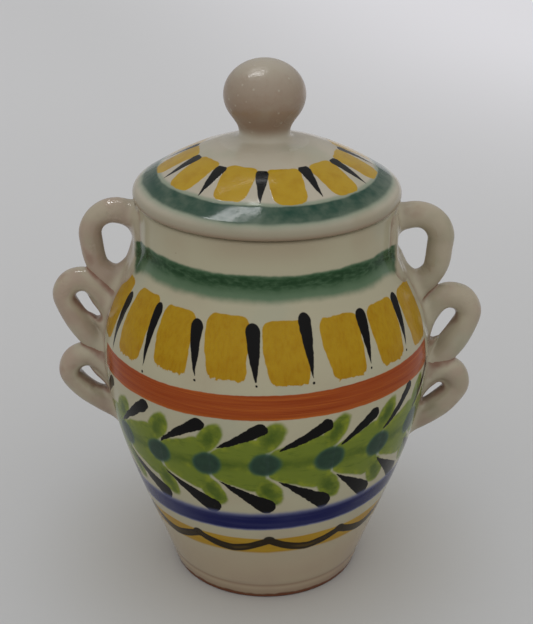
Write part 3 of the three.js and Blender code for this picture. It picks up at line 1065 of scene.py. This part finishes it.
def paint_low_band(s):
    """Yellow band under the blue one."""
    z = s.z - s.sway * LOW_BAND.sway + s.grain(0.07, 22) * 0.8
    cover = band(z, LOW_BAND.low, LOW_BAND.high, 0.5, 0.3)
    streak = ramp(s.grain(0.5, 23, stretch=(0.12, 0.12, 1.6)), -0.15, 0.25)
    s.lay(YELLOW, cover * 0.92, 0.02)
    s.lay(YELLOW_DEEP, cover * streak * 0.55)


def paint_scallops(s):
    """Dark line that hangs in loops on the yellow band, with a spot at each cusp."""
    index, offset = repeat(s.angle, SCALLOPS)
    count, low, cusp = SCALLOPS.count, SCALLOPS.low, SCALLOPS.cusp
    out = abs(offset) * (2 * count / 360)
    line = operate("POWER", out, SCALLOPS.curve) * (cusp - low) + low
    tilt = s.sway * 0.8 - abs(s.sway) * 0.9
    miss = abs(s.z - line - tilt - s.chance(index, 7) * 0.4 + s.grain(0.3, 24) * 0.5)
    worn = ramp(miss, 0.8, 0.1) * ramp(s.grain(0.12, 21), -0.15, 0.15) * 0.13
    stroke = up_to(miss, SCALLOPS.half_width, 0.2)
    half_pitch = arc(cusp) * 180 / count
    from_cusp = length((1.0 - out) * half_pitch, s.z - cusp - tilt)
    spot = up_to(from_cusp, SCALLOPS.spot, 0.2)
    s.lay(LINE, most(stroke, spot) * (0.97 - worn), PAINT_RAISED)


def paint_jar():
    """Tints near the rim and the foot, the ornament, and bare clay at the bottom. The tint below the rim is
    painted stronger at the front as the lid's shade on the neck. The inside is plain.
    """
    s = glaze("jar_glaze")
    bare = s.colour
    s.lay(FOOT_CREAM, ramp(s.z, *FOOT_TINT) * 0.8)
    # Thin glaze below the rim, painted stronger at the front as painted shade from the lid
    s.lay(THIN_GLAZE, ramp(s.z, *RIM_TINT_AND_SHADE) * (0.3 - ramp(abs(s.sway), 0.2, 0.6) * 0.2))
    s.lay(THIN_GLAZE, ramp(abs(s.z - FOOT_GROOVE_HEIGHT), 0.9, 0.1) * 0.5)
    blush = ramp(s.grain(0.05, 42) + s.sway * 0.12, -0.05, 0.2)
    s.lay(HANDLE_PINK, ramp(s.z, *FOOT_BLUSH) * blush * 0.5)
    s.lay(THIN_GLAZE, ramp(s.z, *FOOT_THIN) * 0.42)
    paint_neck(s)
    paint_dabs(s)
    paint_drops(s)
    paint_orange_band(s)
    paint_garland(s)
    paint_garland_strokes(s)
    paint_blue_band(s)
    paint_low_band(s)
    paint_scallops(s)
    s.lay(TERRACOTTA, ramp(s.z + s.grain(0.3, 25) * 1.2, *FOOT_BARE) * 0.95)
    s.lay(bare, s.mark("inside"))
    return s.finish()


def paint_lid_dabs(s, r):
    """Yellow dabs between the knob and the ring."""
    index, offset = repeat(s.angle, LID_DABS)
    inner, outer = LID_DABS.inner, LID_DABS.outer
    u = offset * r * DEGREE + s.chance(index, 1) * 0.6
    v = r - (inner + outer) / 2 + s.chance(index, 2) * 0.9
    shape = rounded_box(u, v, LID_DABS.half_width, (outer - inner) / 2, LID_DABS.corner)
    cover = up_to(shape + s.grain(0.35, 7) * 0.9, 0, DAB_SOFT)
    s.lay(LID_YELLOW, cover * 0.97, PAINT_RAISED)
    s.lay(YELLOW_DEEP, cover * ramp(s.grain(0.3, 9), -0.1, 0.25) * 0.35)


def paint_lid_wedges(s, r):
    """Black wedges between the dabs, blunt towards the knob."""
    index, offset = repeat(s.angle, LID_WEDGES)
    u = offset * r * DEGREE + s.grain(0.4, 10) * 0.6
    v = r + s.chance(index, 4) * 1.2
    (wide, broad), (tip, fine) = LID_WEDGES.wide, LID_WEDGES.tip
    wedge = brush_stroke(u, v, (0, wide), broad, (0, tip), fine, TAPER)
    s.lay(BLACK, up_to(most(wedge, LID_WEDGES.blunt - v), 0, STROKE_SOFT), STROKE_RAISED)


def paint_lid():
    """A green ring with dabs and wedges inside it, painted shade on the edge, and thin glaze under it."""
    s = glaze("lid_glaze", LID_CREAM)
    bare = s.colour
    r = length(s.x, s.y)
    ring = r + s.grain(0.1, 4) * 1.2 + s.grain(0.5, 5) * 0.25
    sideways = s.sway * s.sway
    low = LID_RING.low - sideways * LID_RING.side_low
    high = LID_RING.high - sideways * LID_RING.side_high
    s.lay(LID_GREEN_WASH, band(ring, low - 0.9, high + 0.9, 0.5, 1.0) * 0.6)
    paint_lid_dabs(s, r)
    mottle = ramp(s.grain(0.25, 6, detail=3), -0.25, 0.2) * 0.24
    green = band(ring, low, high, 0.3, 0.5)
    s.lay(LID_GREEN, green * (mottle + 0.73 - ramp(ring, low + 1.5, high) * 0.12))
    s.relief += green * (s.grain(0.12, 39) * 0.1 + 0.02)
    paint_lid_wedges(s, r)
    # Painted shade: the lid's edge, facing out and down, is painted a darker cream
    s.lay(LID_EDGE_SHADED_CREAM, ramp(s.z, *LID_EDGE_SHADE_BAND) * 0.7)
    s.lay(THIN_GLAZE, ramp(s.z, *LID_EDGE_THIN) * 0.6)
    s.lay(bare, s.mark("inside"))
    return s.finish()


def paint_knob():
    """Browner than the lid, lumpy and pitted, with a line above its stem. Its top is painted paler as a
    highlight, the ball darker below as shade, and its pits pale as glints.
    """
    s = glaze("knob_glaze", LID_CREAM)
    ball = ramp(s.z, *KNOB_BALL)
    s.lay(KNOB_CREAM, ball)
    # Painted shade: the ball darkens towards its underside, in the brown of thin glaze
    s.lay(THIN_GLAZE, ball * ramp(s.z, *KNOB_SHADE) * 0.6)
    s.lay(THIN_GLAZE, ball * ramp(s.grain(0.6, 32, detail=4), 0.0, 0.2) * 0.15)
    s.lay(THIN_GLAZE, ramp(abs(s.z - KNOB_LINE + s.grain(0.2, 33)), 1.6, 0.2) * 0.18)
    # Painted highlight: the top of the knob is painted paler
    s.lay(LID_CREAM, ramp(s.z, *KNOB_LIT_TOP) * 0.5)
    s.lay(CREAM_COOL, ball * ramp(s.grain(0.2, 34), 0.02, 0.2) * 0.12)
    # Pale specks: pits in the glaze, painted pale as tiny glints
    s.lay(LID_CREAM, ball * s.specks(0.55, 0.62, 0.3) * 0.5, 0.05)
    s.relief += ball * (s.grain(0.5, 35) * 0.1 + s.grain(1.4, 36) * 0.05)
    return s.finish(KNOB_GLOSS, KNOB_SPECULAR)


def paint_handles():
    """Clay shows pink through the glaze, mostly on the left, and the glaze is greener on the right. It pools
    pale beside the wall, and is thin and red where coils touch, inside their slots and in a few smudges. In
    the creases and slots that red is also painted shade."""
    s = glaze("handle_glaze", HANDLE_CREAM)
    left = ramp(s.x, 20, -20)
    s.lay(HANDLE_PINK, ramp(s.grain(0.09, 30) + left * 0.08, -0.04, 0.2) * 0.65)
    s.lay(HANDLE_OLIVE, ramp(s.grain(0.11, 40) - left * 0.16, -0.08, 0.18) * 0.6)
    s.lay(CREASE, ramp(s.grain(0.14, 41), 0.1, 0.26) * 0.35)
    crease = s.mark("crease")
    s.lay(POOLED_GLAZE, band(crease + s.grain(0.2, 38) * 0.3, 0.14, 0.55, 0.12, 0.2) * 0.6)
    # Thin red glaze where coils touch and in slots, also painted darker there as shade
    s.lay(CREASE, ramp(crease + s.grain(0.35, 31) * 0.6, 0.42, 1.05) * 0.8)
    paint_neck(s)
    wrinkled = ramp(s.grain(0.12, 44), 0.05, 0.18)
    s.relief += s.grain(0.3, 37) * 0.1 + wrinkled * s.grain(0.7, 45) * 0.4
    return s.finish(specular=HANDLE_SPECULAR)


# Stage, light and camera

FLOOR_HALF = 12000
FLOOR_ROUGHNESS = 0.9
FLOOR_FRONT = srgb(228, 227, 224)
FLOOR_NEAR = srgb(198, 198, 198)
FLOOR_FOOT_SHADOW = srgb(188, 186, 181)
FLOOR_FAR_LIT = srgb(208, 208, 209)
FLOOR_LIGHT_POOL = srgb(240, 239, 243)
SKY_LEVEL = 0.33
SKY_RISE = 0.62
SKY_FRONT = 0.34

# Lamps that only show as reflections in the glaze: sizes, power and place in millimetres
LAMPS = {
    "strip": dict(size=(210, 34), power=0.75, place=(-125, 42, 560), aim=(0, 0, 115)),
    "tube": dict(size=(220, 9), power=0.08, place=(-75, 158, 560), aim=(0, 0, 115)),
}


def floor_card():
    """Pale card, brighter in front of the jar. Painted light brightens it towards the back, most of all on
    the right there, and a painted shadow darkens it round the jar's foot.
    """
    s = Surface("floor_card", FLOOR_NEAR)
    s.lay(FLOOR_FRONT, ramp(s.y, -60, -150))
    # Painted shadow: the card is darker round the jar's foot
    s.lay(FLOOR_FOOT_SHADOW, ramp(length(s.x, s.y), 80, 28))
    # Painted light: the card brightens towards the back, and most on the right there
    s.lay(FLOOR_FAR_LIT, ramp(s.y, -100, 600))
    s.lay(FLOOR_LIGHT_POOL, ramp(s.x + s.y * 0.3, 50, 450) * ramp(s.y, 100, 700))
    return s.finish(FLOOR_ROUGHNESS)


def build_stage():
    half = FLOOR_HALF * MM
    corners = [(-half, -half, 0), (half, -half, 0), (half, half, 0), (-half, half, 0)]
    mesh = bpy.data.meshes.new("floor")
    mesh.from_pydata(corners, [], [(0, 1, 2, 3)])
    floor = bpy.data.objects.new("floor", mesh)
    show(floor)
    floor.data.materials.append(floor_card())


def build_light():
    """A pale sky, brighter overhead and in front, and the lamps that the glaze mirrors."""
    world = bpy.data.worlds.new("studio")
    bpy.context.scene.world = world
    world.use_nodes = True
    where = add_node(world.node_tree, "ShaderNodeTexCoord")
    split = add_node(world.node_tree, "ShaderNodeSeparateXYZ", {0: Term(where.outputs["Generated"])})
    front, up = Term(split.outputs["Y"]) * -1.0, Term(split.outputs["Z"])
    level = most(up, 0.0) * SKY_RISE + most(front, 0.0) * SKY_FRONT + SKY_LEVEL
    feed(world.node_tree.nodes["Background"], {"Color": (1, 1, 1, 1), "Strength": level})

    for name, lamp in LAMPS.items():
        add_reflection(name, **lamp)


def add_reflection(name, size, power, place, aim):
    """An area lamp that the glaze mirrors. It adds nothing to the plain light of the sky."""
    lamp = bpy.data.lights.new(name, "AREA")
    lamp.shape = "RECTANGLE"
    lamp.size, lamp.size_y = np.array(size) * MM
    lamp.energy = power
    holder = bpy.data.objects.new(name, lamp)
    holder.location = np.array(place) * MM
    facing = Vector(np.subtract(place, aim)).normalized()
    across = Vector((0, 1, 0)).cross(facing).normalized()
    holder.rotation_euler = Matrix((across, facing.cross(across), facing)).transposed().to_euler()
    holder.visible_diffuse = False
    show(holder)


CAMERA_PLACE = (0, -311.31, 215.31)
CAMERA_PITCH = 24.284
CAMERA_ROLL = 0.254
CAMERA_LENS = 72.56
CAMERA_SENSOR = 36
CAMERA_CLIP = 10


def build_camera():
    data = bpy.data.cameras.new("camera")
    data.lens = CAMERA_LENS
    data.sensor_width = CAMERA_SENSOR
    data.clip_start = CAMERA_CLIP * MM
    camera = bpy.data.objects.new("camera", data)
    camera.location = np.array(CAMERA_PLACE) * MM
    tilt = Euler((math.radians(90 - CAMERA_PITCH), 0, 0)).to_matrix()
    roll = Matrix.Rotation(math.radians(CAMERA_ROLL), 3, "Z")
    camera.rotation_euler = (tilt @ roll).to_euler()
    show(camera)
    bpy.context.scene.camera = camera


bpy.context.scene.view_settings.view_transform = "Standard"
build_camera()
build_light()
build_stage()

plain_glaze = glaze("flange_glaze").finish()
handle_glaze = paint_handles()
jar = new_piece("jar_clay", *lathe(jar_outline()), "jar", "body_glaze", "jar_body", paint_jar())
lid = new_piece("lid_clay", *lathe(lid_outline()), "lid", "body_glaze", "lid_dome", paint_lid())
new_piece("flange_clay", *lathe(flange_outline()), "lid", "body_glaze", "lid_flange", plain_glaze)
new_piece("knob_clay", *knob_shape(), "lid", "knob_glaze", "lid_knob", paint_knob())
store(jar, "inside", jar_inside(mesh_points(jar)))
store(lid, "inside", lid_inside(mesh_points(lid)))
build_handle("left", -1, LEFT_CURLS, handle_glaze)
build_handle("right", 1, RIGHT_CURLS, handle_glaze)
